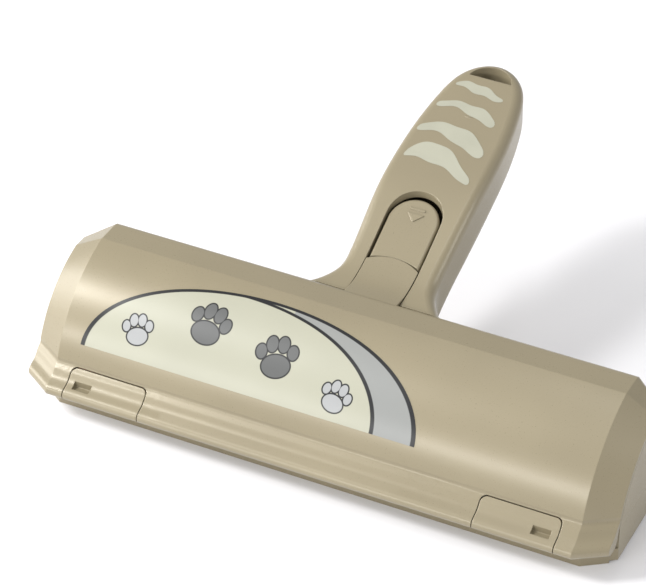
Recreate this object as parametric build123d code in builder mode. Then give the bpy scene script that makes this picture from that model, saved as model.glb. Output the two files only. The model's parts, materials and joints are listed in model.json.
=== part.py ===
"""Lint roller: a long head with a swinging velvet drum, a hinged lid and a handle with a release button.

Millimetres, +Z up, X along the head, +Y from the front lip towards the handle. The origin is on the
surface the head stands on, under the middle of the whole object.

Profiles are drawn from the ridge, the line where the lid's dome meets its front lip: u runs back
from it and w runs up from it, so a profile point (u, w) lies at Y = ridge_y + u, Z = ridge_z + w.
"""
import os
from math import asin, cos, degrees, hypot, radians, sin, sqrt

from build123d import *

os.makedirs("parts", exist_ok=True)

# ---------------------------------------------------------------- driving dimensions
head_width = 190.0          # over the two end walls
overall_depth = 143.7       # front lip to handle tip
ridge_height = 14.5         # ridge above the surface underneath
lip_front = 7.2             # lip nose in front of the ridge
lip_bottom = 6.6            # lip underside below the ridge
crest_back = 31.0           # crest of the dome behind the ridge
crest_rise = 27.4           # crest of the dome above the ridge
dome_radius = 41.0
band_drop = 0.4             # fall of the flat band behind the crest
back_round = 3.0            # rounding of the lid's rear edge
back_face = 42.0            # outer face of the back wall behind the ridge
lid_seam = 20.0             # top of the back wall above the ridge
end_crease = -1.55          # top of the tray's end walls, from the ridge
facet_run = 9.3             # slanted end facets, along X
facet_inset = 5.5           # slanted end facets, into the profile
rim = 1.0                   # flat edge of the lid round each end wall
wall = 2.2
end_wall = 3.4
gap = 0.3                   # between pieces that move apart
run_fit = 0.05              # radial clearance of a pin in its hole

hinge_back, hinge_rise = -3.0, -4.5     # lid hinge line, from the ridge
hinge_pin_r = 1.0
hinge_pin_reach = 6.0                   # pin beyond each side of its block
block_long = 25.2                       # the two hinge blocks along X
block_from_end = 15.0                   # and their distance from the head's ends
block_r = 6.7                           # block's sweep radius about the hinge line
block_corner = 2.0
slot_long, slot_from_block = 5.8, 2.1   # small slot in each hinge block
slot_front, slot_back = -5.0, -2.5
slot_floor = -3.4
block_foot = 3.6                        # back of the block's foot on the tray
lip_sweep = 4.3                         # furthest reach of the lip below the hinge line

drum_back, drum_rise = 20.5, 0.3        # drum axis from the ridge
drum_r = 14.5                           # over the velvet
pad_thick = 1.7
drum_wall = 2.0
drum_from_end = 12.0                    # drum shell's distance from the head's ends
drum_end_thick = 2.5
drum_swing = 40.0                       # degrees each way
shell_angle = 104.0                     # drum shell, each side of straight down
pad_from, pad_to = 12.0, 98.0           # velvet, degrees from straight down
blade_half, blade_tip = 1.6, 0.5        # stripper blade: half width, and how far it stops short
axle_r = 2.5
bush_r = 4.2
bush_flange_r, bush_flange = 6.0, 1.2
lug_half_angle = 7.0
lug_in, lug_out, lug_thick = 8.2, 11.4, 2.2

floor_low, floor_top = 1.0, 2.8         # tray floor above the surface underneath
rail_depth = 5.0                        # the two rails that the head stands on
window_from_end, window_half_y = 7.4, 11.5
tray_front = 0.5                        # tray's front face from the ridge
strip_in, strip_top, strip_low = 8.7, 3.6, 0.35
screw_r, screw_head_r, screw_head = 1.4, 2.6, 1.4
rear_screw_from_end, rear_screw_back = 15.0, 37.9
front_screw_from_end, front_screw_back = 5.8, 8.8
rear_boss_r, front_boss_r = 2.3, 2.3
boss_top, front_boss_top = 5.0, 1.0
wiper_from_end, wiper_thick, wiper_tall = 19.0, 1.0, 7.5
wiper_off = 0.5                         # wiper's distance from the velvet

neck_half, flare_half = 15.4, 27.0
neck_back = 57.0
drawn_tip = 136.5                       # tip that the handle's lines below are drawn for
handle_wall = 2.4
front_extra = 0.45                      # extra thickness of the handle's front wall
tongue_half = 8.6
tongue_end = 58.2
tongue_thick = 2.0
latch_front, latch_low = 47.0, 17.0     # hook under the tongue
button_start, button_rise = 57.5, 28.6  # lower end of the button's face
slot_half, slot_end = 8.9, 80.0
button_half, button_end = 8.2, 77.7
button_angle = 25.5
button_thick = 2.4
button_pin_back, button_pin_rise = 62.0, 25.6
button_pin_r = 1.0
button_boss_r = 3.0
slot_depth_from = 20.0                  # the slot is cut from here up, from the ridge
spring_back = 72.5
spring_r, spring_wire, spring_turns = 2.4, 0.35, 5
hole_from_tip, hole_half, hole_deep = 8.5, 7.1, 5.5
solid_tip = 3.0                         # solid stretch of the handle before its hang hole
crown_round, belly_round = 3.2, 6.5      # long edges of the handle
split_angle = 19.5                      # joint between the handle's two shells
split_back, split_rise = 45.0, 11.5
handle_screws_from_tip = (42.5, 22.5)
handle_boss_r = 2.9
ear_half, ear_front, ear_back = 13.6, 59.8, 64.2                 # bearings of the button's pin
ear_low, ear_high = 23.4, 29.5
latch_room_back = 50.0                  # back of the opening that the hook drops through
spring_seat = 24.0                      # top of the spring's post, from the ridge

# ---------------------------------------------------------------- derived places
half_width = head_width / 2
ridge_y = lip_front - overall_depth / 2
ridge_z = ridge_height
handle_tip = overall_depth - lip_front
facet_start = half_width - facet_run
chord = hypot(crest_back, crest_rise)
rise_to_centre = sqrt(dome_radius**2 - (chord / 2) ** 2)
dome_u = crest_back / 2 + rise_to_centre * crest_rise / chord
dome_w = crest_rise / 2 - rise_to_centre * crest_back / chord
tray_top = hinge_rise - lip_sweep - gap
cheek_x = half_width - end_wall
opening = facet_inset + rim
lid_edge = lid_seam + gap
return_front = 29.8                     # where the back wall's side returns begin
tall_cut = 90.0                         # taller than anything from the ridge
block_outer = half_width - block_from_end
block_inner = block_outer - block_long
slot_outer = block_outer - slot_from_block
slot_inner = slot_outer - slot_long
drum_half = half_width - drum_from_end
window_half_x = half_width - window_from_end
wiper_half = half_width - wiper_from_end
rear_screw = (half_width - rear_screw_from_end, rear_screw_back)
front_screw = (half_width - front_screw_from_end, front_screw_back)
hole_chord = handle_tip - hole_from_tip
handle_screws_back = [handle_tip - place for place in handle_screws_from_tip]


def head_plane(x=0.0, u=0.0, w=0.0):
    """Drawing plane across the head at x: local X is u and local Y is w."""
    return Plane(origin=(x, ridge_y + u, ridge_z + w), x_dir=(0, 1, 0), z_dir=(1, 0, 0))


def level(z):
    """Horizontal drawing plane at height z whose local Y is u."""
    return Plane(origin=(0, ridge_y, z), x_dir=(1, 0, 0), z_dir=(0, 0, 1))


def dome_foot(inset, w):
    """u of the dome arc, pushed in by inset, at height w."""
    return dome_u - sqrt((dome_radius - inset) ** 2 - (w - dome_w) ** 2)


def dome_top(inset):
    """w of the dome arc, pushed in by inset, at the crest."""
    return dome_w + sqrt((dome_radius - inset) ** 2 - (crest_back - dome_u) ** 2)


def draw_lip(foot, shift):
    """The lip's outline from the dome's foot: roll, groove, bead, nose and underside."""
    lip_line = [(0.25, 1.0), (-0.9, 0.3), (-2.1, -0.95), (-3.6, -2.1), (-5.2, -2.7), (-6.6, -3.45),
                (-lip_front, -4.8), (0.6 - lip_front, 0.55 - lip_bottom), (1.8 - lip_front, -lip_bottom)]
    Spline(foot, *[(shift + u, w) for u, w in lip_line])


def draw_lid_outline(inset):
    """The lid's outer profile pushed in by inset: lip, dome, band, rear edge."""
    foot_w = 2.6
    foot = (dome_foot(inset, foot_w), foot_w)
    shift = foot[0] - dome_foot(0, foot_w)
    crest = (crest_back, dome_top(inset))
    middle_w = (foot_w + crest[1]) / 2
    rear = back_face - inset
    shoulder = max(crest[1] - band_drop, lid_edge + rim)
    turn = min(back_round, shoulder - lid_edge - 0.5)
    with BuildLine() as outline:
        draw_lip(foot, shift)
        ThreePointArc(foot, (dome_foot(inset, middle_w), middle_w), crest)
        Line(crest, (rear - turn, shoulder))
        RadiusArc((rear - turn, shoulder), (rear, shoulder - turn), turn)
        Line((rear, shoulder - turn), (rear, lid_edge))
        inner_foot = (dome_foot(inset + wall, hinge_rise) + 1.5, -lip_bottom)
        Polyline((rear, lid_edge), (rear - 6, lid_edge), inner_foot, (shift - lip_front + 1.8, -lip_bottom))
    make_face(outline.edges())


def draw_cavity(inset):
    """The space inside the lid, pushed in by inset from its outer profile."""
    foot = (dome_foot(inset, hinge_rise), hinge_rise)
    crest = (crest_back, dome_top(inset))
    middle_w = (foot[1] + crest[1]) / 2
    rear = back_face - inset
    shoulder = crest[1] - band_drop
    turn = 0.8
    with BuildLine() as outline:
        Line((foot[0] - 2.0, -lip_bottom - 1), foot)
        ThreePointArc(foot, (dome_foot(inset, middle_w), middle_w), crest)
        Line(crest, (rear - turn, shoulder))
        RadiusArc((rear - turn, shoulder), (rear, shoulder - turn), turn)
        Line((rear, shoulder - turn), (rear, -lip_bottom - 1))
        Line((rear, -lip_bottom - 1), (foot[0] - 2.0, -lip_bottom - 1))
    make_face(outline.edges())


def tongue_outline(half, end):
    """Plan of the lid's tongue: straight sides and a bowed end."""
    with BuildLine() as outline:
        Polyline((half, end - 2.3), (half, back_face - 5), (-half, back_face - 5), (-half, end - 2.3))
        ThreePointArc((-half, end - 2.3), (0, end), (half, end - 2.3))
    make_face(outline.edges())


def button_outline(half, start, end):
    """Plan of the button or its slot: straight sides and a round end."""
    with BuildLine() as outline:
        Polyline((-half, end - half), (-half, start), (half, start), (half, end - half))
        ThreePointArc((half, end - half), (0, end), (-half, end - half))
    make_face(outline.edges())


# ---------------------------------------------------------------- handle and neck blanks
def along(u):
    """u of a place on the handle, moved with the tip from where the handle's lines are drawn."""
    return slot_end + (u - slot_end) * (handle_tip - slot_end) / (drawn_tip - slot_end)


handle_top = [(38.0, 25.4), (46.0, 25.7), (52.0, 26.8), (58.0, 29.1), (69.0, 34.6), (along(80.0), 39.7),
              (along(92.0), 43.2), (along(110.0), 47.5), (along(126.0), 51.2), (handle_tip, 53.0)]
handle_side = [(16.1, 76.0), (16.3, along(92.0)), (15.6, along(107.0)), (13.7, along(120.0)),
               (10.0, along(130.5))]    # half width, u
handle_under = [(38.0, 0.5), (50.0, 4.5), (64.0, 11.5), (along(80.0), 19.0), (along(100.0), 26.5),
                (along(120.0), 32.0), (handle_tip, 37.5)]


def handle_blank(inset):
    """The handle's solid shape, pushed in by inset."""
    front = back_face - 1
    crown_line = [(u, w - inset) for u, w in handle_top]
    belly_line = [(u, w + inset) for u, w in handle_under]
    side_line = [(x - inset, u) for x, u in handle_side]
    with BuildPart() as blank:
        with BuildSketch(head_plane(-flare_half)):
            with BuildLine():
                Spline(*crown_line)
                Line(crown_line[-1], belly_line[-1])
                Spline(*belly_line)
                Line(belly_line[0], crown_line[0])
            make_face()
        extrude(amount=2 * flare_half)
        with BuildSketch(level(0)):
            with BuildLine():
                neck = (neck_half - inset, neck_back)
                Line((0, front), (flare_half - inset, front))
                Spline((flare_half - inset, front), (neck[0] + 3.0, front + 7.0), neck,
                       tangents=[(-1, 0.25), (0, 1)])
                Spline(neck, *side_line, (0, handle_tip - inset), tangents=[(0, 1), (-1, 0)])
                mirror(about=Plane.YZ)
            make_face()
        extrude(amount=tall_cut, mode=Mode.INTERSECT)
        for facing, radius in ((1, crown_round - inset), (-1, belly_round - inset)):
            long_faces = blank.faces().filter_by(lambda face: facing * face.normal_at().Z > 0.5)
            long_edges = long_faces.sort_by(SortBy.AREA)[-1].edges()
            fillet(long_edges.filter_by_position(Axis.Y, ridge_y + front + 1, ridge_y + handle_tip + 1), radius)
        if inset:
            block(-flare_half, flare_half, 0, front + inset + front_extra, 0, tall_cut, mode=Mode.SUBTRACT)
            block(-flare_half, flare_half, hole_chord - solid_tip, handle_tip, 0, tall_cut, mode=Mode.SUBTRACT)
    return blank


def ring_sector(r_in, r_out, from_angle, to_angle):
    """Part of a ring about the sketch's origin; angles in degrees from straight down, towards +u."""
    def at(radius, angle):
        return (radius * sin(radians(angle)), -radius * cos(radians(angle)))
    half_way = (from_angle + to_angle) / 2
    with BuildLine() as outline:
        ThreePointArc(at(r_out, from_angle), at(r_out, half_way), at(r_out, to_angle))
        Line(at(r_out, to_angle), at(r_in, to_angle))
        ThreePointArc(at(r_in, to_angle), at(r_in, half_way), at(r_in, from_angle))
        Line(at(r_in, from_angle), at(r_out, from_angle))
    make_face(outline.edges())


def block(x0, x1, u0, u1, w0, w1, mode=Mode.ADD):
    """Add or cut a box between two corners."""
    with Locations(((x0 + x1) / 2, ridge_y + (u0 + u1) / 2, ridge_z + (w0 + w1) / 2)):
        Box(x1 - x0, u1 - u0, w1 - w0, mode=mode)


def upright(radius, x, u, w0, w1, mode=Mode.ADD):
    """Add or cut an upright round bar."""
    with Locations((x, ridge_y + u, ridge_z + (w0 + w1) / 2)):
        Cylinder(radius, w1 - w0, mode=mode)


def lying(radius, x0, x1, u, w, mode=Mode.ADD):
    """Add or cut a round bar along X."""
    with Locations(Location(((x0 + x1) / 2, ridge_y + u, ridge_z + w), (0, 90, 0))):
        Cylinder(radius, x1 - x0, mode=mode)


def mirrored(piece):
    """The left-hand copy of a right-hand piece."""
    with BuildPart() as copy:
        add(mirror(piece.part, about=Plane.YZ, mode=Mode.PRIVATE))
    return copy


def hinge_drum(radius, x0, x1):
    """Round bar about the lid's hinge line with rounded end edges."""
    with BuildPart() as bar:
        lying(radius, x0, x1, hinge_back, hinge_rise)
        fillet(bar.edges().filter_by(GeomType.CIRCLE), block_corner)
    return bar.part


def split_rise_at(u):
    """w of the joint between the handle's shells."""
    return split_rise + (u - split_back) * tan_split


tan_split = sin(radians(split_angle)) / cos(radians(split_angle))
pad_in = drum_r - pad_thick
drum_end_x = drum_half + drum_end_thick
bush_in = drum_end_x + 1.5
boss_in = bush_in + bush_flange
tray_low = -ridge_z                     # the surface underneath, from the ridge
tray_floor = floor_top - ridge_z
slot_top = handle_top[-1][1] + 10

# ---------------------------------------------------------------- lid
with BuildPart() as tongue:
    tongue_top = [(back_face - 5, 26.97), (41.0, 26.5), (46.0, 26.0), (52.0, 27.0), (60.0, 30.1)]
    with BuildSketch(head_plane(-tongue_half)):
        with BuildLine():
            Spline(*tongue_top)
            Spline(*[(u, w - tongue_thick) for u, w in tongue_top])
            Line(tongue_top[0], (tongue_top[0][0], tongue_top[0][1] - tongue_thick))
            Line(tongue_top[-1], (tongue_top[-1][0], tongue_top[-1][1] - tongue_thick))
        make_face()
    extrude(amount=2 * tongue_half)
    with BuildSketch(level(0)):
        tongue_outline(tongue_half, tongue_end)
    extrude(amount=tall_cut, mode=Mode.INTERSECT)

with BuildPart() as lid_cover:
    with BuildSketch(head_plane(-facet_start)):
        draw_lid_outline(0)
    extrude(amount=2 * facet_start)
    for side in (1, -1):
        with BuildSketch(head_plane(side * facet_start)):
            draw_lid_outline(0)
        with BuildSketch(head_plane(side * half_width)):
            draw_lid_outline(facet_inset)
        loft(ruled=True)
    with BuildSketch(head_plane(-facet_start)):
        draw_cavity(wall)
    extrude(amount=2 * facet_start, mode=Mode.SUBTRACT)
    for side in (1, -1):
        with BuildSketch(head_plane(side * facet_start)):
            draw_cavity(wall)
        with BuildSketch(head_plane(side * (half_width - rim))):
            draw_cavity(opening)
        loft(ruled=True, mode=Mode.SUBTRACT)
        with BuildSketch(head_plane(side * (half_width - rim))):
            draw_cavity(opening)
        extrude(amount=side * 2 * rim, mode=Mode.SUBTRACT)
    add(tongue.part)
    for side in (1, -1):
        notch = sorted((side * (block_inner - gap), side * (block_outer + gap)))
        add(hinge_drum(block_r + gap, *notch), mode=Mode.SUBTRACT)
        reach = hinge_pin_reach + gap
        bore = sorted((side * (block_inner - reach), side * (block_outer + reach)))
        lying(hinge_pin_r + run_fit, *bore, hinge_back, hinge_rise, mode=Mode.SUBTRACT)

with BuildPart() as lid_latch:
    latch_x, latch_deep, latch_high, barb = 4.0, 3.0, 24.0, 1.2
    block(-latch_x, latch_x, latch_front, latch_front + latch_deep, latch_low, latch_high)
    block(-latch_x, latch_x, latch_front + latch_deep, latch_front + latch_deep + barb,
          latch_low, latch_low + 1.6)
    chamfer(lid_latch.edges().filter_by(Axis.X).group_by(Axis.Z)[0].sort_by(Axis.Y)[-1], 1.0)

# ---------------------------------------------------------------- hinges
with BuildPart() as hinge_block_right:
    with BuildSketch(head_plane(block_inner)):
        draw_lid_outline(0)
    extrude(amount=block_outer - block_inner)
    add(hinge_drum(block_r, block_inner, block_outer), mode=Mode.INTERSECT)
    block(block_inner + 1, block_outer - 1, tray_front, block_foot, tray_top, -lip_bottom + 1)
    lying(hinge_pin_r, block_inner - 1, block_outer + 1, hinge_back, hinge_rise, mode=Mode.SUBTRACT)
    block(slot_inner, slot_outer, slot_front, slot_back, slot_floor, 2, mode=Mode.SUBTRACT)
hinge_block_left = mirrored(hinge_block_right)

with BuildPart() as hinge_pin_right:
    lying(hinge_pin_r, block_inner - hinge_pin_reach, block_outer + hinge_pin_reach,
              hinge_back, hinge_rise)
    chamfer(hinge_pin_right.edges(), 0.25)
hinge_pin_left = mirrored(hinge_pin_right)

# ---------------------------------------------------------------- tray
corner_u = dome_foot(opening, end_crease) + 2 * gap
tray_plan = [(facet_start, tray_front), (half_width, corner_u),
             (half_width, back_face - facet_inset), (facet_start, back_face)]
with BuildPart() as base_frame:
    with BuildSketch(level(0)):
        with BuildLine():
            Polyline(*tray_plan, *[(-x, u) for x, u in reversed(tray_plan)], close=True)
        make_face()
    extrude(amount=tray_top - tray_low)
    with BuildSketch(level(floor_top)):
        with BuildLine():
            Polyline(*tray_plan, *[(-x, u) for x, u in reversed(tray_plan)], close=True)
        make_face()
        offset(amount=-wall, kind=Kind.INTERSECTION, mode=Mode.REPLACE)
    extrude(amount=ridge_z + tray_top - floor_top, mode=Mode.SUBTRACT)
    for side in (1, -1):
        block(*sorted((side * cheek_x, side * half_width)), corner_u, return_front - 0.1,
                  tray_top - wall, end_crease)
        block(*sorted((side * (block_inner + 1), side * (block_outer - 1))), tray_front, block_foot,
                  tray_floor, tray_top)
        upright(screw_head_r + 1.2, side * rear_screw[0], rear_screw[1], tray_floor - 1, tray_top)
        upright(front_boss_r, side * front_screw[0], front_screw[1], tray_floor - 1, tray_top)
    block(-half_width, half_width, tray_front + rail_depth, back_face - rail_depth,
              tray_low - 1, tray_low + floor_low, mode=Mode.SUBTRACT)
    block(-window_half_x, window_half_x, drum_back - window_half_y, drum_back + window_half_y,
              tray_low - 1, 0, mode=Mode.SUBTRACT)
    for side in (1, -1):
        for (x, u), low in ((rear_screw, tray_low), (front_screw, tray_low + floor_low)):
            upright(screw_head_r + 0.1, side * x, u, low - 1, low + screw_head + 0.1, mode=Mode.SUBTRACT)
            upright(screw_r + 0.1, side * x, u, low, tray_top + 1, mode=Mode.SUBTRACT)

# ---------------------------------------------------------------- end cheeks and bushes
with BuildPart() as end_cheek_right:
    with BuildSketch(head_plane(cheek_x)):
        draw_cavity(opening + gap)
    extrude(amount=end_wall)
    block(cheek_x - 1, half_width + 1, -lip_front, back_face, -tall_cut, end_crease, mode=Mode.SUBTRACT)
    block(cheek_x - 1, half_width + 1, return_front, back_face, -tall_cut, lid_seam, mode=Mode.SUBTRACT)
    lying(bush_r + 2.2, boss_in, cheek_x, drum_back, drum_rise)
    for angle in (180 - drum_swing - 2 * lug_half_angle - 0.5, 180 + drum_swing + 2 * lug_half_angle + 0.5):
        with BuildSketch(head_plane(drum_end_x + 0.5, drum_back, drum_rise)):
            ring_sector(lug_in, lug_out, angle - lug_half_angle, angle + lug_half_angle)
        extrude(amount=cheek_x - drum_end_x - 0.5)
    upright(front_boss_r, *front_screw, tray_top, front_boss_top)
    block(front_screw[0], cheek_x + 0.5, front_screw[1] - 0.9, front_screw[1] + 0.9, end_crease, front_boss_top)
    lying(bush_r, boss_in - 1, cheek_x - 0.1, drum_back, drum_rise, mode=Mode.SUBTRACT)
    upright(screw_r, *front_screw, tray_top - 1, front_boss_top - 1, mode=Mode.SUBTRACT)
end_cheek_left = mirrored(end_cheek_right)

with BuildPart() as bush_right:
    lying(bush_flange_r, bush_in, boss_in, drum_back, drum_rise)
    lying(bush_r, boss_in, cheek_x - 0.2, drum_back, drum_rise)
    lying(axle_r + run_fit, bush_in - 1, half_width, drum_back, drum_rise, mode=Mode.SUBTRACT)
bush_left = mirrored(bush_right)

# ---------------------------------------------------------------- back housing and handle
split_plane = Plane(origin=(0, ridge_y + split_back, ridge_z + split_rise), x_dir=(1, 0, 0),
                    z_dir=(0, -sin(radians(split_angle)), cos(radians(split_angle))))
outer_handle = handle_blank(0)
inner_handle = handle_blank(handle_wall)
with BuildPart() as hang_hole:
    with BuildSketch(level(0)):
        with BuildLine():
            ThreePointArc((-hole_half, hole_chord), (0, hole_chord + hole_deep), (hole_half, hole_chord))
            Line((hole_half, hole_chord), (-hole_half, hole_chord))
        make_face()
    extrude(amount=tall_cut)
with BuildPart() as handle_shell:
    add(outer_handle.part)
    add(inner_handle.part, mode=Mode.SUBTRACT)
    add(hang_hole.part, mode=Mode.SUBTRACT)

wall_plan = [(half_width, return_front), (half_width, back_face - facet_inset), (facet_start, back_face)]
inner_plan = [(cheek_x, return_front), (cheek_x, back_face - facet_inset - 0.9), (facet_start - 1.0, back_face - wall)]
with BuildPart() as rear_housing:
    add(handle_shell.part)
    split(bisect_by=split_plane, keep=Keep.TOP)
    block(-half_width, half_width, return_front, back_face + gap, lid_seam, tall_cut, mode=Mode.SUBTRACT)
    with BuildSketch(level(ridge_z + tray_top)):
        with BuildLine():
            right_side = [*inner_plan[::-1], *wall_plan]
            Polyline(*right_side, *[(-x, u) for x, u in reversed(right_side)], close=True)
        make_face()
    extrude(amount=lid_seam - tray_top)
    for x in (rear_screw[0], -rear_screw[0]):
        upright(rear_boss_r, x, rear_screw[1], tray_top, boss_top)
        upright(screw_r, x, rear_screw[1], tray_top - 1, boss_top - 1, mode=Mode.SUBTRACT)
    for x0, x1 in ((slot_half - 1, ear_half), (-ear_half, 1 - slot_half)):
        block(x0, x1, ear_front, ear_back, ear_low, ear_high)
    for u in handle_screws_back:
        upright(handle_boss_r, 0, u, split_rise_at(u) + 1.2, split_rise_at(u) + 12)
    with BuildSketch(level(ridge_z + slot_depth_from)):
        button_outline(slot_half, back_face - 3, slot_end)
    extrude(amount=slot_top, mode=Mode.SUBTRACT)
    block(-slot_half, slot_half, back_face - 3, latch_room_back, latch_low - 2, tall_cut, mode=Mode.SUBTRACT)
    lying(button_pin_r, -ear_half + 0.8, ear_half - 0.8, button_pin_back, button_pin_rise, mode=Mode.SUBTRACT)
    for u in handle_screws_back:
        upright(screw_r, 0, u, split_rise_at(u) - 1, split_rise_at(u) + 8, mode=Mode.SUBTRACT)

with BuildPart() as handle_underside:
    add(handle_shell.part)
    split(bisect_by=split_plane, keep=Keep.BOTTOM)
    block(-half_width, half_width, return_front, back_face, tray_low, tall_cut, mode=Mode.SUBTRACT)
    upright(spring_r + 1.0, 0, spring_back, spring_seat - 12, spring_seat)
    for u in handle_screws_back:
        upright(screw_head_r + 1.4, 0, u, split_rise_at(u) - 12, split_rise_at(u) + 1.2)
    add(outer_handle.part, mode=Mode.INTERSECT)
    for u in handle_screws_back:
        screw_seat = split_rise_at(u) - 4.0
        upright(screw_head_r + 0.2, 0, u, tray_low, screw_seat, mode=Mode.SUBTRACT)
        upright(screw_r + 0.1, 0, u, tray_low, split_rise_at(u) + 2, mode=Mode.SUBTRACT)

with BuildPart() as button_pin:
    lying(button_pin_r, -ear_half + 0.8, ear_half - 0.8, button_pin_back, button_pin_rise)

# ---------------------------------------------------------------- release button and its spring
button_plane = Plane(origin=(0, ridge_y + button_start, ridge_z + button_rise), x_dir=(1, 0, 0),
                     z_dir=(0, -sin(radians(button_angle)), cos(radians(button_angle))))
slope = 1 / cos(radians(button_angle))
with BuildPart() as release_button:
    with BuildSketch(button_plane):
        button_outline(button_half, -1.0, (button_end - button_start) * slope)
    extrude(amount=-button_thick)
    face = release_button.faces().sort_by(lambda f: f.normal_at().Z)[-1]
    fillet(face.edges().filter_by_position(Axis.Y, ridge_y + button_start + 0.5, ridge_y + 200), 0.9)
    lying(button_boss_r, -button_half + 0.4, button_half - 0.4, button_pin_back, button_pin_rise)
    under_rise = button_rise + (spring_back - button_start) * sin(radians(button_angle)) * slope
    under_rise -= button_thick * slope
    upright(spring_r - spring_wire - 0.3, 0, spring_back, under_rise - 1.5, under_rise + 0.8)
    with BuildSketch(level(ridge_z)):
        tongue_outline(tongue_half + 2, tongue_end + gap)
    extrude(amount=tall_cut, mode=Mode.SUBTRACT)
    with BuildSketch(button_plane):
        with Locations((0, (74.4 - button_start) * slope)):
            Rectangle(5.0, 0.8)
        with BuildLine():
            Polyline((-2.7, (73.0 - button_start) * slope), (2.7, (73.0 - button_start) * slope),
                     (0, (70.4 - button_start) * slope), close=True)
        make_face()
    extrude(amount=0.3)
    lying(button_pin_r + run_fit, -button_half - 1, button_half + 1, button_pin_back, button_pin_rise, mode=Mode.SUBTRACT)

spring_height = under_rise - 0.9 - spring_seat - 2 * spring_wire
with BuildPart() as button_spring:
    with BuildLine() as coil_line:
        Helix(pitch=spring_height / spring_turns, height=spring_height, radius=spring_r - spring_wire,
              center=(0, ridge_y + spring_back, ridge_z + spring_seat + spring_wire + 0.05))
    with BuildSketch(Plane(origin=coil_line.line @ 0, z_dir=coil_line.line % 0)):
        Circle(spring_wire)
    sweep(is_frenet=True)

# ---------------------------------------------------------------- drum
with BuildPart() as drum_shell:
    with BuildSketch(head_plane(-drum_half, drum_back, drum_rise)):
        ring_sector(pad_in - drum_wall, pad_in, -shell_angle, shell_angle)
    extrude(amount=2 * drum_half)

with BuildPart() as velvet_pad_rear:
    with BuildSketch(head_plane(-drum_half + 0.5, drum_back, drum_rise)):
        ring_sector(pad_in, drum_r, pad_from, pad_to)
    extrude(amount=2 * drum_half - 1)

with BuildPart() as velvet_pad_front:
    with BuildSketch(head_plane(-drum_half + 0.5, drum_back, drum_rise)):
        ring_sector(pad_in, drum_r, -pad_to, -pad_from)
    extrude(amount=2 * drum_half - 1)

with BuildPart() as drum_blade:
    blade_angle = degrees(asin(blade_half / pad_in))
    with BuildSketch(head_plane(-drum_half + 0.5, drum_back, drum_rise)):
        ring_sector(pad_in, drum_r - blade_tip, -blade_angle, blade_angle)
    extrude(amount=2 * drum_half - 1)

with BuildPart() as drum_end_right:
    lying(pad_in - 0.2, drum_half, drum_end_x, drum_back, drum_rise)
    lying(axle_r + 2, drum_end_x - 0.5, bush_in - 0.2, drum_back, drum_rise)
    with BuildSketch(head_plane(drum_end_x, drum_back, drum_rise)):
        ring_sector(lug_in, lug_out, 180 - lug_half_angle, 180 + lug_half_angle)
    extrude(amount=lug_thick)
    lying(axle_r, drum_half - 1, bush_in, drum_back, drum_rise, mode=Mode.SUBTRACT)
drum_end_left = mirrored(drum_end_right)

with BuildPart() as axle_right:
    lying(axle_r, drum_half, cheek_x - 0.5, drum_back, drum_rise)
    chamfer(axle_right.edges(), 0.3)
axle_left = mirrored(axle_right)

# ---------------------------------------------------------------- strips, wipers, screws
def lint_strip(side):
    """Velvet strip on one long edge of the window; side is 1 at the rear and -1 at the front."""
    edges = sorted((drum_back + side * strip_in, drum_back + side * window_half_y))
    with BuildPart() as strip:
        block(-window_half_x + 1, window_half_x - 1, *edges, tray_low + strip_low, tray_floor)
        lying(drum_r + gap, -half_width, half_width, drum_back, drum_rise, mode=Mode.SUBTRACT)
    return strip


def wiper(side):
    """Rubber strip that stands on the tray beside the drum."""
    edges = sorted((drum_back + side * (drum_r + wiper_off), drum_back + side * (drum_r + wiper_off + wiper_thick)))
    with BuildPart() as blade:
        block(-wiper_half, wiper_half, *edges, tray_floor, tray_floor + wiper_tall)
        fillet(blade.edges().filter_by(Axis.X).group_by(Axis.Z)[-1], 0.3)
    return blade


def pan_screw(x, u, low, length):
    """A pan-head screw pointing up, its head's underside at low."""
    with BuildPart() as screw:
        upright(screw_head_r, x, u, low, low + screw_head)
        upright(screw_r, x, u, low, low + screw_head + length)
        fillet(screw.edges().group_by(Axis.Z)[0], 0.6)
        block(x - 0.35, x + 0.35, u - 1.5, u + 1.5, low - 1, low + 0.7, mode=Mode.SUBTRACT)
        block(x - 1.5, x + 1.5, u - 0.35, u + 0.35, low - 1, low + 0.7, mode=Mode.SUBTRACT)
    return screw.part


lint_strip_front, lint_strip_rear = lint_strip(-1), lint_strip(1)
wiper_front, wiper_rear = wiper(-1), wiper(1)
with BuildPart() as base_screws:
    for side in (1, -1):
        add(pan_screw(side * rear_screw[0], rear_screw[1], tray_low + 0.1, 11.0))
        add(pan_screw(side * front_screw[0], front_screw[1], tray_low + floor_low + 0.1, 9.0))
with BuildPart() as handle_screws:
    for u in handle_screws_back:
        add(pan_screw(0, u, split_rise_at(u) - 4.0 - screw_head, 10.0))

pieces = {
    "base_frame": base_frame, "rear_housing": rear_housing, "handle_underside": handle_underside,
    "end_cheek_left": end_cheek_left, "end_cheek_right": end_cheek_right,
    "hinge_block_left": hinge_block_left, "hinge_block_right": hinge_block_right,
    "hinge_pin_left": hinge_pin_left, "hinge_pin_right": hinge_pin_right,
    "bush_left": bush_left, "bush_right": bush_right,
    "lint_strip_front": lint_strip_front, "lint_strip_rear": lint_strip_rear,
    "wiper_front": wiper_front, "wiper_rear": wiper_rear,
    "base_screws": base_screws, "handle_screws": handle_screws,
    "button_pin": button_pin, "button_spring": button_spring, "release_button": release_button,
    "lid_cover": lid_cover, "lid_latch": lid_latch,
    "drum_shell": drum_shell, "drum_end_left": drum_end_left, "drum_end_right": drum_end_right,
    "axle_left": axle_left, "axle_right": axle_right,
    "velvet_pad_front": velvet_pad_front, "velvet_pad_rear": velvet_pad_rear, "drum_blade": drum_blade,
}
for name, piece in pieces.items():
    piece.part.label = name
    export_step(piece.part, f"parts/{name}.step")
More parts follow.
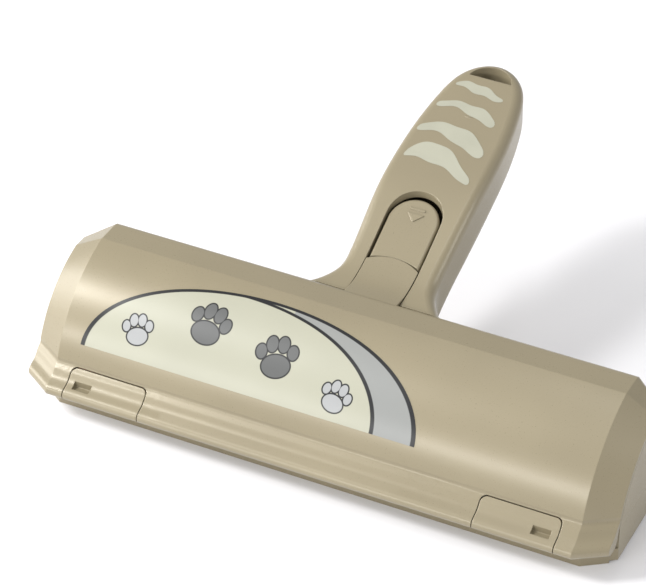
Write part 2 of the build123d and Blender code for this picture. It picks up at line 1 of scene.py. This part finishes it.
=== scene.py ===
# %% [markdown]
# # A lint roller: velvet drum, hinged lid, handle with a release button
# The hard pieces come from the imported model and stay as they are. This lesson gives them their moulded
# plastic, steel and rubber, makes the velvet again as real pile, and prints the lid and the handle.

# %% Load the frame
import json
import math

import bpy
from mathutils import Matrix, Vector


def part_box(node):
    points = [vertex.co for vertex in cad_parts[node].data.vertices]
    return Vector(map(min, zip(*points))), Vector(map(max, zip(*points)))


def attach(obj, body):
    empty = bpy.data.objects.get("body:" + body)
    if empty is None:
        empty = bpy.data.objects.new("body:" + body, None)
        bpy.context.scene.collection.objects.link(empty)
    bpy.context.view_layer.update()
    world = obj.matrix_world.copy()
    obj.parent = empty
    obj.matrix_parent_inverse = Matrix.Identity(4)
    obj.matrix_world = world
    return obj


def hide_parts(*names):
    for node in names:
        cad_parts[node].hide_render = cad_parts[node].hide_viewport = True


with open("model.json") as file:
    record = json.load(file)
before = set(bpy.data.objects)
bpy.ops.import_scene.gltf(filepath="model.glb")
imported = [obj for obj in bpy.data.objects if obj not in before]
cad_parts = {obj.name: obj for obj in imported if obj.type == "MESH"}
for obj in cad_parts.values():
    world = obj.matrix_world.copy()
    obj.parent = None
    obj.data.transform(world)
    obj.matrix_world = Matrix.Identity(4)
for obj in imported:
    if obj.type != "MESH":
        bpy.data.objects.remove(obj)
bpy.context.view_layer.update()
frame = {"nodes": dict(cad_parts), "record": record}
nodes = frame["nodes"]
mm = 0.001

# %% [markdown]
# ## Places that every piece needs
# The drum's axis is the middle of its steel axle. The lid's dome is one long arc, so a print on it only
# needs the arc's middle and radius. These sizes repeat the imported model's own, and the arc is placed from
# the lid's front edge, which is measured.

# %% Measure the drum's axis and the dome
axle_low, axle_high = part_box("axle_left")
drum_axis = Vector((0, (axle_low.y + axle_high.y) / 2, (axle_low.z + axle_high.z) / 2))
lid_low, lid_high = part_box("lid_cover")
lip_front = 7.2 * mm                      # from the lip's nose back to the ridge, where the dome starts
centre_back, centre_rise = 38.94 * mm, 1.67 * mm      # the arc's middle, from the ridge and from the floor
dome_radius = 41.0 * mm
ridge_y = lid_low.y + lip_front
dome_centre = Vector((0, ridge_y + centre_back, centre_rise))
print("drum axis", [round(v, 4) for v in drum_axis], "lid top", round(lid_high.z, 4))


def deselect():
    """Nothing is selected or active afterwards."""
    bpy.ops.object.select_all(action="DESELECT")


def settle(piece, name):
    """Names a piece and moves its place into its mesh."""
    piece.name = name
    piece.data.name = name
    deselect()
    piece.select_set(True)
    bpy.context.view_layer.objects.active = piece
    bpy.ops.object.transform_apply(location=True, rotation=True, scale=True)
    return piece


def add_modifier(piece, kind, **settings):
    """Adds one modifier, sets it and applies it."""
    modifier = piece.modifiers.new(kind.lower(), kind)
    for name, value in settings.items():
        setattr(modifier, name, value)
    bpy.context.view_layer.objects.active = piece
    bpy.ops.object.modifier_apply(modifier=modifier.name)


def paint(piece, material):
    """The piece has this one material."""
    piece.data.materials.clear()
    piece.data.materials.append(material)


def smooth(piece):
    """Shades a piece smooth."""
    deselect()
    piece.select_set(True)
    bpy.ops.object.shade_smooth()


deselect()

# %% [markdown]
# ## Node helpers
# A material is a small tree of nodes. These helpers keep each tree readable: one adds a node and sets its
# inputs, one makes noise at a real size in millimetres, and one blends two colours.

# %% Define the node helpers


def node(tree, kind, inputs=None, **settings):
    """Adds a node, sets its properties, and sets or links its inputs."""
    made = tree.nodes.new("ShaderNode" + kind)
    for name, value in settings.items():
        setattr(made, name, value)
    for key, value in (inputs or {}).items():
        if isinstance(value, bpy.types.NodeSocket):
            tree.links.new(value, made.inputs[key])
        else:
            made.inputs[key].default_value = value
    return made


def start_material(name, color, roughness, metallic=0.0):
    """A new material with a Principled shader, and the place on the piece as a vector."""
    material = bpy.data.materials.new(name)
    material.use_nodes = True
    tree = material.node_tree
    shader = tree.nodes["Principled BSDF"]
    shader.inputs["Base Color"].default_value = (*color, 1)
    shader.inputs["Roughness"].default_value = roughness
    shader.inputs["Metallic"].default_value = metallic
    place = node(tree, "TexCoord").outputs["Object"]
    return material, tree, shader, place


def noise(tree, place, size_mm, detail=3.0):
    """Soft random grain whose lumps are about size_mm across."""
    inputs = {"Vector": place, "Scale": 1.0 / (size_mm * mm), "Detail": detail}
    return node(tree, "TexNoise", inputs).outputs["Fac"]


def spread(tree, value, low, high, to_low=0.0, to_high=1.0):
    """Stretches a value's range, held at both ends."""
    inputs = {"Value": value, "From Min": low, "From Max": high, "To Min": to_low, "To Max": to_high}
    return node(tree, "MapRange", inputs).outputs["Result"]


def blend_colours(tree, factor, first, second):
    """first where factor is 0 and second where it is 1."""
    made = node(tree, "Mix", data_type="RGBA")
    for socket, value in (("A", first), ("B", second)):
        target = [s for s in made.inputs if s.name == socket and s.type == "RGBA"][0]
        if isinstance(value, bpy.types.NodeSocket):
            tree.links.new(value, target)
        else:
            target.default_value = (*value, 1)
    factor_socket = [s for s in made.inputs if s.name == "Factor" and s.type == "VALUE"][0]
    if isinstance(factor, bpy.types.NodeSocket):
        tree.links.new(factor, factor_socket)
    else:
        factor_socket.default_value = factor
    return [s for s in made.outputs if s.type == "RGBA"][0]


def combine(tree, operation, first, second):
    """One value worked out from two, such as their product."""
    return node(tree, "Math", {0: first, 1: second}, operation=operation).outputs[0]


def bump(tree, height, depth_mm, strength, base=None):
    """Turns a height into a slightly tilted surface."""
    inputs = {"Height": height, "Distance": depth_mm * mm, "Strength": strength}
    if base is not None:
        inputs["Normal"] = base
    return node(tree, "Bump", inputs).outputs["Normal"]


# Finds sharp outer edges for the plastic's painted edge highlight, and rounds their direction.
def edge_highlight_mask(tree, radius_mm):
    """1 on a sharp outer edge and 0 on flat ground, with the rounded direction that an edge has."""
    rounded = node(tree, "Bevel", {"Radius": radius_mm * mm}, samples=6).outputs["Normal"]
    flat = node(tree, "NewGeometry").outputs["Normal"]
    turn = node(tree, "VectorMath", {0: rounded, 1: flat}, operation="DOT_PRODUCT").outputs["Value"]
    return spread(tree, turn, 1.0, 0.86), rounded


# %% [markdown]
# ## Moulded plastic
# The shell is a champagne plastic with a fine pearl in it: satin and a little uneven from the mould. Its
# edges are painted paler as a painted highlight. Flat colour would look like paint, so slow noise shifts the
# tone, fine noise breaks up the gloss, and rounded edges catch the light as a real moulding's do.

# %% Make the champagne plastic


def moulded_plastic(name, color, roughness, metallic, coat, edge_mm=0.35):
    """Satin plastic with slow tone drift, a fine pearl, and a painted highlight that makes sharp edges paler.
    """
    material, tree, shader, place = start_material(name, color, roughness, metallic)
    darker = tuple(c * 0.94 for c in color)
    paler = tuple(min(1.0, c * 1.25 + 0.03) for c in color)
    drift = spread(tree, noise(tree, place, 38.0), 0.35, 0.65)
    grain = noise(tree, place, 0.35, 2.0)
    edge, rounded = edge_highlight_mask(tree, edge_mm)
    tone = blend_colours(tree, drift, darker, color)
    # The paler colour along sharp edges is a painted highlight.
    soft_edge = spread(tree, edge, 0.0, 1.0, 0.0, 0.45)
    highlit_colour = blend_colours(tree, soft_edge, tone, paler)
    tree.links.new(highlit_colour, shader.inputs["Base Color"])
    gloss = spread(tree, grain, 0.3, 0.7, roughness - 0.05, roughness + 0.07)
    tree.links.new(gloss, shader.inputs["Roughness"])
    tree.links.new(bump(tree, grain, 0.02, 0.35, rounded), shader.inputs["Normal"])
    shader.inputs["Coat Weight"].default_value = coat
    shader.inputs["Coat Roughness"].default_value = 0.22
    return material


champagne = (0.270, 0.230, 0.148)
body_plastic = moulded_plastic("champagne_body", champagne, 0.36, 0.10, 0.3)
lid_plastic = moulded_plastic("champagne_lid", champagne, 0.32, 0.12, 0.35)
drum_plastic = moulded_plastic("grey_drum", (0.115, 0.115, 0.12), 0.5, 0.0, 0.0, 0.25)
bush_plastic = moulded_plastic("white_acetal", (0.62, 0.61, 0.56), 0.32, 0.0, 0.1, 0.2)
print("plastics", [m.name for m in (body_plastic, lid_plastic, drum_plastic, bush_plastic)])

# %% [markdown]
# ## Steel, rubber and velvet
# Pins and screws are drawn wire and turned rod, so their scratches run long and thin. The wipers are soft
# silicone with a dusty skin. Velvet is short pile: dark when looked into, bright where it leans away, which
# is what sheen gives, and its tufts need real height as well as colour.
# The deeper red between tufts is painted shade.

# %% Make steel, rubber and velvet


def turned_steel(name):
    """Bright steel with fine scratches along X."""
    material, tree, shader, place = start_material(name, (0.56, 0.56, 0.57), 0.28, 1.0)
    stretched = node(tree, "Mapping", {"Vector": place, "Scale": (0.05, 1.0, 1.0)}).outputs["Vector"]
    scratches = noise(tree, stretched, 0.25)
    tree.links.new(spread(tree, scratches, 0.3, 0.7, 0.2, 0.38), shader.inputs["Roughness"])
    tree.links.new(bump(tree, scratches, 0.01, 0.3), shader.inputs["Normal"])
    tone = blend_colours(tree, noise(tree, place, 6.0), (0.50, 0.50, 0.51), (0.60, 0.60, 0.60))
    tree.links.new(tone, shader.inputs["Base Color"])
    return material


def soft_rubber(name):
    """Pale silicone, slightly dusty."""
    material, tree, shader, place = start_material(name, (0.62, 0.59, 0.53), 0.62)
    dust = spread(tree, noise(tree, place, 4.0), 0.4, 0.7)
    tone = blend_colours(tree, dust, (0.60, 0.57, 0.51), (0.68, 0.66, 0.62))
    tree.links.new(tone, shader.inputs["Base Color"])
    tree.links.new(bump(tree, noise(tree, place, 0.3), 0.02, 0.4), shader.inputs["Normal"])
    shader.inputs["Subsurface Weight"].default_value = 0.1
    shader.inputs["Subsurface Scale"].default_value = 1.5 * mm
    return material


def velvet_pile(name):
    """Red pile: two reds in brushed patches, a deeper red between tufts as painted shade, and a strong sheen.
    """
    tuft_shade_red, bright = (0.16, 0.006, 0.008), (0.42, 0.022, 0.020)
    material, tree, shader, place = start_material(name, bright, 0.95)
    tufts = noise(tree, place, 0.55, 2.0)
    brushed = noise(tree, place, 9.0)
    # The deeper red where the tufts are low is painted shade.
    tone = blend_colours(tree, spread(tree, tufts, 0.38, 0.58), tuft_shade_red, bright)
    shaded = blend_colours(tree, spread(tree, brushed, 0.45, 0.65, 0.0, 0.4), tone, (0.50, 0.05, 0.045))
    tree.links.new(shaded, shader.inputs["Base Color"])
    tree.links.new(bump(tree, tufts, 0.25, 0.9), shader.inputs["Normal"])
    shader.inputs["Sheen Weight"].default_value = 0.8
    shader.inputs["Sheen Roughness"].default_value = 0.35
    shader.inputs["Sheen Tint"].default_value = (1.0, 0.45, 0.42, 1)
    return material


steel = turned_steel("turned_steel")
rubber = soft_rubber("pale_silicone")
velvet = velvet_pile("red_velvet")
print("others", [m.name for m in (steel, rubber, velvet)])

# %% [markdown]
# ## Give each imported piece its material
# The record names a slot for every piece, so the slot decides the material and no piece is forgotten.

# %% Assign materials by slot
slot_materials = {"beige_body": body_plastic, "beige_lid": lid_plastic, "grey_plastic": drum_plastic,
                  "bush": bush_plastic, "steel": steel, "rubber": rubber, "velvet": velvet}
for part in frame["record"]["subparts"]:
    paint(nodes[part["node"]], slot_materials[part["material_slot"]])

# %% [markdown]
# ## Velvet pads on the drum
# Each pad is cloth glued round a quarter of the drum. A flat grid stood on its edge and spun round the drum's
# axis gives the curved slab with even faces. Rounding the rim, then pushing the skin in and out by a fine
# cloud pattern, gives pile that also shows at the silhouette.
#
# Known fault: the spin runs the other way from the one intended. Each pad starts at its right edge but
# reaches back past straight down, so the two overlap and hide the blade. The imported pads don't.

# %% Spin the two drum pads
pile = bpy.data.textures.new("pile", "CLOUDS")
pile.noise_scale = 0.9 * mm
pile.noise_depth = 2
pad_inner, pad_outer = 12.85 * mm, 14.45 * mm         # the cloth's two faces, from the drum's axis
pad_length = 165.0 * mm
pad_from, pad_to = 12.0, 98.0             # the intended edges, in degrees from straight down
rim_round = 0.5 * mm
pad_pile, strip_pile = 0.28, 0.2          # height of the pile, in millimetres
weld = 0.001 * mm


def add_pile(piece, height_mm):
    """Rounds a pad's rim and raises its pile."""
    add_modifier(piece, "BEVEL", width=rim_round, segments=3, limit_method="ANGLE",
                 angle_limit=math.radians(50))
    add_modifier(piece, "DISPLACE", texture=pile, texture_coords="LOCAL", strength=height_mm * mm,
                 mid_level=0.5)
    paint(piece, velvet)
    smooth(piece)


def spun_pad(name, start, end):
    """A pad meant to reach from start to end, in degrees from straight down towards the handle.

    The spin's angle has the wrong sign for that, so the pad covers the same arc on the other side of start.
    """
    middle, thick = (pad_inner + pad_outer) / 2, pad_outer - pad_inner
    turn = math.radians(start)
    place = drum_axis + middle * Vector((0, math.sin(turn), -math.cos(turn)))
    deselect()
    bpy.ops.mesh.primitive_grid_add(x_subdivisions=300, y_subdivisions=2, size=1, location=place,
                                    rotation=(turn - math.pi / 2, 0, 0))
    piece = bpy.context.object
    piece.scale = (pad_length, thick, 1)
    settle(piece, name)
    bpy.ops.object.mode_set(mode="EDIT")
    bpy.ops.mesh.select_all(action="SELECT")
    bpy.ops.mesh.spin(steps=44, angle=math.radians(end - start), center=drum_axis, axis=(1, 0, 0))
    bpy.ops.mesh.select_all(action="SELECT")
    bpy.ops.mesh.remove_doubles(threshold=weld)
    bpy.ops.mesh.normals_make_consistent(inside=False)
    bpy.ops.object.mode_set(mode="OBJECT")
    add_pile(piece, pad_pile)
    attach(piece, "drum")
    return piece


rear_pad = spun_pad("velvet_drum_rear", pad_from, pad_to)
front_pad = spun_pad("velvet_drum_front", -pad_from, -pad_to)
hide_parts("velvet_pad_rear")
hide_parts("velvet_pad_front")
for pad, packed in ((rear_pad, "velvet_pad_rear"), (front_pad, "velvet_pad_front")):
    low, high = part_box(packed)
    own = [v.co for v in pad.data.vertices]
    print(pad.name, len(own), "y", round(min(v.y for v in own), 4), round(max(v.y for v in own), 4),
          "packed y", round(low.y, 4), round(high.y, 4))

# %% [markdown]
# ## Velvet strips beside the drum
# Two narrow strips of the same cloth run along the window. Each starts as a grid on its packed place, pulled
# up by its thickness, and gets the same rim and pile.

# %% Make the two strips
strip_shrink = 0.12 * mm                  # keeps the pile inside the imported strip


def flat_strip(name, packed):
    """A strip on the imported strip's box, its pile facing the cloth to be cleaned."""
    low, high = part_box(packed)
    deselect()
    bpy.ops.mesh.primitive_grid_add(x_subdivisions=320, y_subdivisions=6, size=1)
    piece = bpy.context.object
    piece.scale = (high.x - low.x - 2 * strip_shrink, high.y - low.y - 2 * strip_shrink, 1)
    piece.location = ((low.x + high.x) / 2, (low.y + high.y) / 2, low.z + strip_shrink)
    settle(piece, name)
    tall = high.z - low.z - 2 * strip_shrink
    bpy.ops.object.mode_set(mode="EDIT")
    bpy.ops.mesh.select_all(action="SELECT")
    bpy.ops.mesh.extrude_region_move(TRANSFORM_OT_translate={"value": (0, 0, tall)})
    bpy.ops.mesh.select_all(action="SELECT")
    bpy.ops.mesh.normals_make_consistent(inside=False)
    bpy.ops.object.mode_set(mode="OBJECT")
    add_pile(piece, strip_pile)
    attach(piece, "body")
    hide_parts(packed)
    return piece


strips = [flat_strip("velvet_strip_front", "lint_strip_front"),
          flat_strip("velvet_strip_rear", "lint_strip_rear")]
print("strips", [len(s.data.vertices) for s in strips])

# %% [markdown]
# ## The print on the lid
# The lid carries a printed half-oval, straight along its lower edge. It is laid as a thin skin on the dome's
# arc. A flat grid has its rows narrowed to the oval and is then rolled onto the arc. Its own map keeps the
# flat sizes, so it can carry the drawing: a pale field, a shaded side, dark outlines and plain paw prints.

# %% Lay the half-oval on the dome
print_left, print_right = -79.0 * mm, 31.5 * mm
arc_low, arc_high = math.radians(149.4), math.radians(107.4)
print_tall = dome_radius * (arc_low - arc_high)
print_middle = (print_left + print_right) / 2
print_half = (print_right - print_left) / 2
skin = 0.06 * mm                          # how far a print stands proud of the plastic
top_row = 0.985                           # the last row stops just short of the oval's tip


def half_oval_skin(name):
    """The print's surface, with its own map in tenths of a metre."""
    deselect()
    bpy.ops.mesh.primitive_grid_add(x_subdivisions=120, y_subdivisions=48, size=1, location=(0, 0, 0))
    piece = settle(bpy.context.object, name)
    flat = {}
    for vertex in piece.data.vertices:
        across, up = 2 * vertex.co.x, vertex.co.y + 0.5
        up = math.sin(up * math.pi / 2 * top_row)
        reach = math.sqrt(1 - up * up)
        x, rise = print_middle + across * print_half * reach, up * print_tall
        turn = arc_low - rise / dome_radius
        radius = dome_radius + skin
        vertex.co = (x, dome_centre.y + radius * math.cos(turn), dome_centre.z + radius * math.sin(turn))
        flat[vertex.index] = ((x - print_left) * 10, rise * 10)
    for corner, loop in zip(piece.data.uv_layers.active.data, piece.data.loops):
        corner.uv = flat[loop.vertex_index]
    return piece


lid_print = half_oval_skin("lid_print")
bpy.ops.object.mode_set(mode="EDIT")
bpy.ops.mesh.select_all(action="SELECT")
bpy.ops.mesh.normals_make_consistent(inside=False)
bpy.ops.object.mode_set(mode="OBJECT")
smooth(lid_print)
top_normal = lid_print.data.polygons[len(lid_print.data.polygons) // 2].normal
if top_normal.z < 0:
    lid_print.data.flip_normals()
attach(lid_print, "lid")
print("print", round(print_half * 2000, 1), "mm wide,", round(print_tall * 1000, 1), "mm over the arc")

# %% [markdown]
# ## Drawing with ovals
# The whole drawing is made of ovals: inside one, the distance from its middle, divided by its half sizes, is
# under 1. An outline is a slightly larger dark oval laid first. Ink is laid in order, later over earlier.
# Places are in millimetres from the print's lower left corner.

# %% Draw the print
ink = (0.012, 0.012, 0.013)
field = (0.385, 0.38, 0.30)
shade_grey = (0.25, 0.255, 0.245)
pad_grey = (0.33, 0.335, 0.335)
dark_grey = (0.10, 0.102, 0.10)
edge_blur = 0.06                          # softness of an inked edge, in millimetres

side_middle = 46.0                        # the shaded side lies outside an oval about this place
side_edge = (50.5, 29.0)                  # that oval's half sizes
side_line = (51.2, 29.5), (49.9, 28.6)    # outer and inner half sizes of the line along it
side_from, side_full = 0.615, 0.617       # the shaded side is only to the right of here, in map units
rim_wide, rim_high = 1.4, 0.95            # the outline's width at the ends and at the top

# One pad and four toes: across and up from the paw's middle, then half sizes, for a paw of size 1.
paw_ovals = [(0, -1.0, 2.6, 2.0), (-2.9, 1.5, 0.95, 1.3), (-1.05, 2.9, 1.0, 1.45),
             (1.05, 2.9, 1.0, 1.45), (2.9, 1.5, 0.95, 1.3)]
paw_line = 0.45
# Across, up, size, lean in degrees, and fill.
paw_plan = [(17, 8.5, 1.25, 14, pad_grey), (38, 16.0, 1.7, -8, dark_grey),
            (62, 12.5, 1.7, 12, dark_grey), (83, 6.5, 1.25, -12, pad_grey)]


def oval(tree, flat, x, y, half_x, half_y, lean=0.0):
    """1 inside an oval given in millimetres on the print, 0 outside."""
    moved = node(tree, "VectorMath", {0: flat, 1: (x / 100, y / 100, 0)}, operation="SUBTRACT").outputs[0]
    if lean:
        inputs = {"Vector": moved, "Axis": (0, 0, 1), "Angle": math.radians(lean)}
        moved = node(tree, "VectorRotate", inputs).outputs[0]
    size = (half_x / 100, half_y / 100, 1)
    scaled = node(tree, "VectorMath", {0: moved, 1: size}, operation="DIVIDE").outputs[0]
    length = node(tree, "VectorMath", {0: scaled}, operation="LENGTH").outputs["Value"]
    blur = edge_blur / min(half_x, half_y)
    return spread(tree, length, 1 + blur, 1 - blur)


def paw(tree, flat, colour, x, y, size, lean, fill):
    """A plain paw print: one wide pad under four toes."""
    turn = math.radians(lean)
    for outline, tone in ((paw_line, ink), (0.0, fill)):
        for px, py, hx, hy in paw_ovals:
            cx = x + size * (px * math.cos(turn) - py * math.sin(turn))
            cy = y + size * (px * math.sin(turn) + py * math.cos(turn))
            shape = oval(tree, flat, cx, cy, size * hx + outline, size * hy + outline, -lean)
            colour = blend_colours(tree, shape, colour, tone)
    return colour


def printed_lid(name):
    """The lid's ink over the champagne plastic, under the same satin coat."""
    material, tree, shader, place = start_material(name, field, 0.34)
    flat = node(tree, "UVMap", uv_map=lid_print.data.uv_layers.active.name).outputs["UV"]
    wide, tall = print_half * 2000, print_tall * 1000
    drift = spread(tree, noise(tree, place, 30.0), 0.3, 0.7)
    colour = blend_colours(tree, drift, field, tuple(c * 0.95 for c in field))
    across = node(tree, "SeparateXYZ", {0: flat}).outputs["X"]
    right_side = spread(tree, across, side_from, side_full)
    beyond = combine(tree, "SUBTRACT", 1.0, oval(tree, flat, side_middle, 0, *side_edge))
    side = combine(tree, "MULTIPLY", right_side, beyond)
    colour = blend_colours(tree, side, colour, shade_grey)
    outer, inner = (oval(tree, flat, side_middle, 0, *half_sizes) for half_sizes in side_line)
    colour = blend_colours(tree, combine(tree, "SUBTRACT", outer, inner), colour, ink)
    inside = oval(tree, flat, wide / 2, 0, wide / 2 - rim_wide, tall - rim_high)
    colour = blend_colours(tree, combine(tree, "SUBTRACT", 1.0, inside), colour, ink)
    for x, y, size, lean, fill in paw_plan:
        colour = paw(tree, flat, colour, x, y, size, lean, fill)
    tree.links.new(colour, shader.inputs["Base Color"])
    grain = noise(tree, place, 0.35, 2.0)
    tree.links.new(bump(tree, grain, 0.015, 0.3), shader.inputs["Normal"])
    shader.inputs["Specular IOR Level"].default_value = 0.35
    shader.inputs["Coat Weight"].default_value = 0.1
    shader.inputs["Coat Roughness"].default_value = 0.2
    return material


paint(lid_print, printed_lid("lid_ink"))
print("ink nodes", len(lid_print.data.materials[0].node_tree.nodes))

# %% [markdown]
# ## Stripes on the handle
# Four wavy pale stripes are printed across the handle's top. Each is a narrow grid, waved in plan, dropped
# straight down onto the moulding and lifted by the print's thickness.

# %% Print the stripes
ripple, ripples = 0.35, 2.3               # height of a stripe's small waves in millimetres, and their number
swelling, swells = 0.3, 0.9               # how much a stripe's width swells, and how often
arch_lean = 0.8                           # under 1, the arch's top leans to the left
drop_from = 90 * mm                       # above the whole handle


def wavy_stripe(name, left, right, tall, arch, phase):
    """A stripe from left to right, both (x, back) in millimetres from the ridge."""
    deselect()
    bpy.ops.mesh.primitive_grid_add(x_subdivisions=48, y_subdivisions=8, size=1, location=(0, 0, 0))
    piece = settle(bpy.context.object, name)
    for vertex in piece.data.vertices:
        along, up = vertex.co.x + 0.5, vertex.co.y
        narrow = math.sqrt(max(0.0, 1 - (2 * along - 1) ** 6))
        wave = arch * math.sin(math.pi * along ** arch_lean)
        wave += ripple * math.sin(2 * math.pi * (ripples * along + phase))
        swell = 1 + swelling * math.sin(2 * math.pi * (swells * along + phase))
        back = left[1] + (right[1] - left[1]) * along + wave + up * tall * swell * (0.2 + 0.8 * narrow)
        x = left[0] + (right[0] - left[0]) * along
        vertex.co = (x * mm, ridge_y + back * mm, drop_from)
    add_modifier(piece, "SHRINKWRAP", target=nodes["rear_housing"], wrap_method="PROJECT",
                 use_project_z=True, use_negative_direction=True, use_positive_direction=False,
                 offset=skin, wrap_mode="ABOVE_SURFACE")
    if piece.data.polygons[0].normal.z < 0:
        piece.data.flip_normals()
    smooth(piece)
    paint(piece, stripe_ink)
    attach(piece, "body")
    return piece


def pale_ink(name):
    """The same pale ink as the lid's field, on its own."""
    material, tree, shader, place = start_material(name, field, 0.38)
    drift = spread(tree, noise(tree, place, 12.0), 0.35, 0.65)
    tone = blend_colours(tree, drift, field, tuple(c * 0.93 for c in field))
    tree.links.new(tone, shader.inputs["Base Color"])
    tree.links.new(bump(tree, noise(tree, place, 0.35, 2.0), 0.015, 0.3), shader.inputs["Normal"])
    shader.inputs["Coat Weight"].default_value = 0.25
    shader.inputs["Coat Roughness"].default_value = 0.22
    return material


stripe_ink = pale_ink("stripe_ink")
# Name, left and right end, then width, arch and phase.
stripe_plan = [("handle_stripe_1", (-9.4, 123.3), (7.4, 120.6), 2.9, 0.9, 0.80),
               ("handle_stripe_2", (-11.6, 113.4), (9.0, 111.0), 3.6, 2.4, 0.55),
               ("handle_stripe_3", (-13.2, 102.6), (10.6, 98.6), 5.2, 3.4, 0.62),
               ("handle_stripe_4", (-12.6, 91.6), (11.0, 86.6), 5.8, 5.0, 0.90)]
for name, left, right, tall, arch, phase in stripe_plan:
    stripe = wavy_stripe(name, left, right, tall, arch, phase)
    heights = [v.co.z for v in stripe.data.vertices]
    print(name, "height", round(min(heights), 4), round(max(heights), 4))

# %% [markdown]
# ## Floor, light and camera
# The object lies on a white sweep. One wide soft light in front gives the broad sheen low on the dome, one
# overhead lifts its crest, and a small one high on the left makes the soft shadow. Two fills open the sides.

# %% Build the studio
deselect()
bpy.ops.mesh.primitive_plane_add(size=6, location=(0, 0, 0))
floor = settle(bpy.context.object, "floor")
floor_paint, floor_tree, floor_shader, floor_place = start_material("white_sweep", (0.78, 0.775, 0.79), 0.9)
floor_drift = noise(floor_tree, floor_place, 400.0)
floor_tone = blend_colours(floor_tree, floor_drift, (0.77, 0.765, 0.785), (0.79, 0.785, 0.80))
floor_tree.links.new(floor_tone, floor_shader.inputs["Base Color"])
floor_shader.inputs["Emission Color"].default_value = (1.0, 0.99, 1.0, 1)
floor_shader.inputs["Emission Strength"].default_value = 0.07
floor.data.materials.append(floor_paint)

world = bpy.data.worlds.new("studio")
bpy.context.scene.world = world
world.use_nodes = True
world.node_tree.nodes["Background"].inputs["Color"].default_value = (1, 1, 1, 1)
world.node_tree.nodes["Background"].inputs["Strength"].default_value = 0.52
bpy.context.scene.view_settings.view_transform = "Standard"


def soft_light(name, place, aim, size, power):
    """A softbox at place, facing aim, with its width and height in metres and its power in watts."""
    lamp = bpy.data.lights.new(name, "AREA")
    lamp.shape = "RECTANGLE"
    lamp.size, lamp.size_y = size
    lamp.energy = power
    box = bpy.data.objects.new(name, lamp)
    bpy.context.scene.collection.objects.link(box)
    box.location = place
    box.rotation_mode = "QUATERNION"
    box.rotation_quaternion = (Vector(aim) - Vector(place)).to_track_quat("-Z", "Y")


soft_light("front_box", (-0.25, -1.1, 0.48), (0, -0.04, 0.02), (1.5, 0.16), 6.5)
soft_light("top_box", (-0.1, -0.05, 1.2), (0, -0.03, 0.03), (1.0, 0.12), 1.5)
soft_light("left_fill", (-1.0, -0.2, 0.38), (0, 0, 0.02), (0.9, 0.5), 7.0)
soft_light("left_key", (-0.66, -0.40, 0.78), (0, 0, 0.02), (0.26, 0.26), 8.5)
soft_light("right_fill", (1.0, 0.1, 0.5), (0, 0, 0.02), (0.7, 0.5), 3.0)

view_turn, view_height, view_distance = math.radians(25.783), math.radians(37.71), 1.033
aim = Vector((-19.75, -15.62, 30.0)) * mm
back = Vector((math.sin(view_turn) * math.cos(view_height), -math.cos(view_turn) * math.cos(view_height),
               math.sin(view_height)))
camera = bpy.data.objects.new("camera", bpy.data.cameras.new("camera"))
bpy.context.scene.collection.objects.link(camera)
camera.location = aim + back * view_distance
camera.rotation_mode = "QUATERNION"
camera.rotation_quaternion = (-back).to_track_quat("-Z", "Y")
camera.data.lens = 189.57
camera.data.sensor_width = 36.0
bpy.context.scene.camera = camera
print("camera at", [round(v, 3) for v in camera.location])
